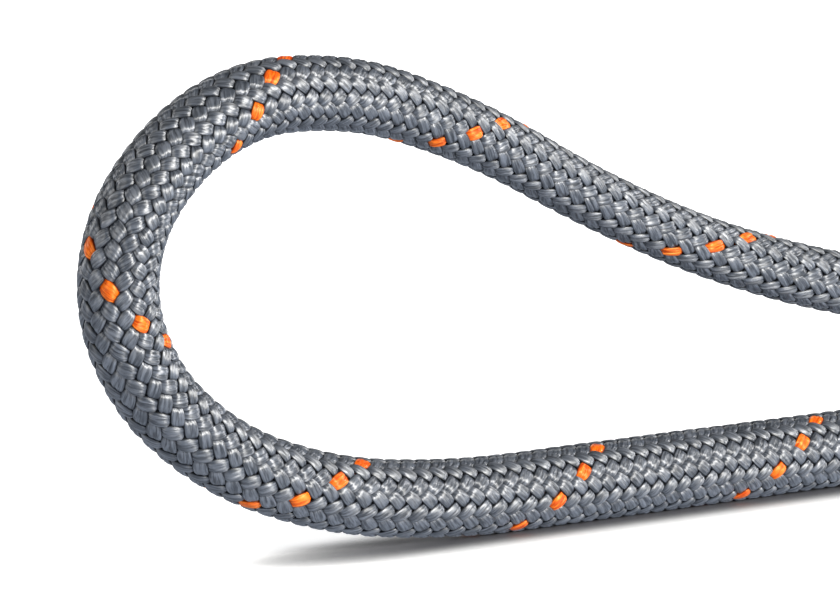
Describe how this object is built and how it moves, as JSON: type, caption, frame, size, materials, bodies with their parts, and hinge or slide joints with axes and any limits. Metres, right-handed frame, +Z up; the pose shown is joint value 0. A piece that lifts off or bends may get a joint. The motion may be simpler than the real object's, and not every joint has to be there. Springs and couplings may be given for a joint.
{
  "type": "dynamic climbing rope",
  "caption": "Bight of a kernmantle climbing rope: braided grey sheath with an orange tracer over parallel core cords, flexing along its length, with sleeved hot-cut ends.",
  "frame": {"origin": "on the ground, under the middle of the bounding box", "axes": "+X along the lower run towards the rope's ends, +Y out of the plane of the bight, +Z up"},
  "size_m": [0.1586, 0.0112, 0.0697],
  "materials": {
    "sheath": "silky braided nylon, cool mid grey",
    "tracer": "silky braided nylon, orange tracer strand",
    "core": "twisted undyed nylon core cord",
    "sleeve": "black shrink sleeve",
    "fused_nylon": "melted nylon, slightly glossy"
  },
  "bodies": {
    "lower_end": {"sheath_lower_end": "sheath", "core_outer_lower_end": "core", "core_inner_lower_end": "core", "shrink_sleeve_lower": "sleeve", "fused_end_lower": "fused_nylon"},
    "lower_run": {"sheath_lower_run": "sheath", "core_outer_lower_run": "core", "core_inner_lower_run": "core"},
    "lower_rise": {"sheath_lower_rise": "sheath", "core_outer_lower_rise": "core", "core_inner_lower_rise": "core"},
    "lower_curve": {"sheath_lower_curve": "sheath", "core_outer_lower_curve": "core", "core_inner_lower_curve": "core"},
    "heel_curve": {"sheath_heel_curve": "sheath", "core_outer_heel_curve": "core", "core_inner_heel_curve": "core"},
    "heel_bend": {"sheath_heel_bend": "sheath", "core_outer_heel_bend": "core", "core_inner_heel_bend": "core"},
    "apex_bend": {"sheath_apex_bend": "sheath", "core_outer_apex_bend": "core", "core_inner_apex_bend": "core"},
    "crown_bend": {"sheath_crown_bend": "sheath", "core_outer_crown_bend": "core", "core_inner_crown_bend": "core"},
    "crown_curve": {"sheath_crown_curve": "sheath", "core_outer_crown_curve": "core", "core_inner_crown_curve": "core"},
    "upper_fall": {"sheath_upper_fall": "sheath", "core_outer_upper_fall": "core", "core_inner_upper_fall": "core"},
    "upper_run": {"sheath_upper_run": "sheath", "core_outer_upper_run": "core", "core_inner_upper_run": "core"},
    "upper_curve": {"sheath_upper_curve": "sheath", "core_outer_upper_curve": "core", "core_inner_upper_curve": "core"},
    "upper_lift": {"sheath_upper_lift": "sheath", "core_outer_upper_lift": "core", "core_inner_upper_lift": "core"},
    "upper_end": {"sheath_upper_end": "sheath", "core_outer_upper_end": "core", "core_inner_upper_end": "core", "shrink_sleeve_upper": "sleeve", "fused_end_upper": "fused_nylon"}
  },
  "joints": [
    {"name": "lower_end_twist", "type": "hinge", "parent": "lower_run", "child": "lower_end", "pos_m": [0.03684, 0, 0.00548], "axis": [1, 0, 0], "range_deg": [-20, 20], "stiffness_Nm_per_rad": 0.02},
    {"name": "lower_rise_lift", "type": "hinge", "parent": "lower_run", "child": "lower_rise", "pos_m": [-0.00206, 0, 0.00548], "axis": [0.006, 0.9999, 0.008], "range_deg": [0, 5], "stiffness_Nm_per_rad": 0.02},
    {"name": "lower_sway", "type": "hinge", "parent": "lower_rise", "child": "lower_curve", "pos_m": [-0.02455, 0, 0.00679], "axis": [0.1158, 0, 0.9933], "range_deg": [-12, 12], "stiffness_Nm_per_rad": 0.02},
    {"name": "heel_curve_lift", "type": "hinge", "parent": "lower_curve", "child": "heel_curve", "pos_m": [-0.04734, 0, 0.01226], "axis": [0.006, 0.9999, 0.008], "range_deg": [0, 3], "stiffness_Nm_per_rad": 0.02},
    {"name": "heel_bend_lift", "type": "hinge", "parent": "heel_curve", "child": "heel_bend", "pos_m": [-0.06445, 0, 0.02246], "axis": [0.006, 0.9999, 0.008], "range_deg": [0, 2], "stiffness_Nm_per_rad": 0.02},
    {"name": "apex_open", "type": "hinge", "parent": "heel_bend", "child": "apex_bend", "pos_m": [-0.07212, 0, 0.03299], "axis": [-0.006, -0.9999, -0.008], "range_deg": [-2, 10], "stiffness_Nm_per_rad": 0.02},
    {"name": "crown_open", "type": "hinge", "parent": "apex_bend", "child": "crown_bend", "pos_m": [-0.06948, 0, 0.05234], "axis": [-0.006, -0.9999, -0.008], "range_deg": [-2, 10], "stiffness_Nm_per_rad": 0.02},
    {"name": "crown_curve_open", "type": "hinge", "parent": "crown_bend", "child": "crown_curve", "pos_m": [-0.04477, 0, 0.06426], "axis": [-0.006, -0.9999, -0.008], "range_deg": [-2, 10], "stiffness_Nm_per_rad": 0.02},
    {"name": "upper_fall_open", "type": "hinge", "parent": "crown_curve", "child": "upper_fall", "pos_m": [-0.02303, 0, 0.06086], "axis": [-0.006, -0.9999, -0.008], "range_deg": [-2, 10], "stiffness_Nm_per_rad": 0.02},
    {"name": "upper_sway", "type": "hinge", "parent": "upper_fall", "child": "upper_run", "pos_m": [0.00082, 0, 0.05087], "axis": [0.4568, 0, 0.8896], "range_deg": [-12, 12], "stiffness_Nm_per_rad": 0.02},
    {"name": "upper_curve_open", "type": "hinge", "parent": "upper_run", "child": "upper_curve", "pos_m": [0.01967, 0, 0.04197], "axis": [-0.006, -0.9999, -0.008], "range_deg": [-3, 10], "stiffness_Nm_per_rad": 0.02},
    {"name": "upper_lift_open", "type": "hinge", "parent": "upper_curve", "child": "upper_lift", "pos_m": [0.04062, 0, 0.03418], "axis": [-0.006, -0.9999, -0.008], "range_deg": [-3, 10], "stiffness_Nm_per_rad": 0.02},
    {"name": "upper_end_stretch", "type": "slide", "parent": "upper_lift", "child": "upper_end", "axis": [0.9733, 0, -0.2297], "range_m": [0, 0.003], "stiffness_N_per_m": 400}
  ]
}
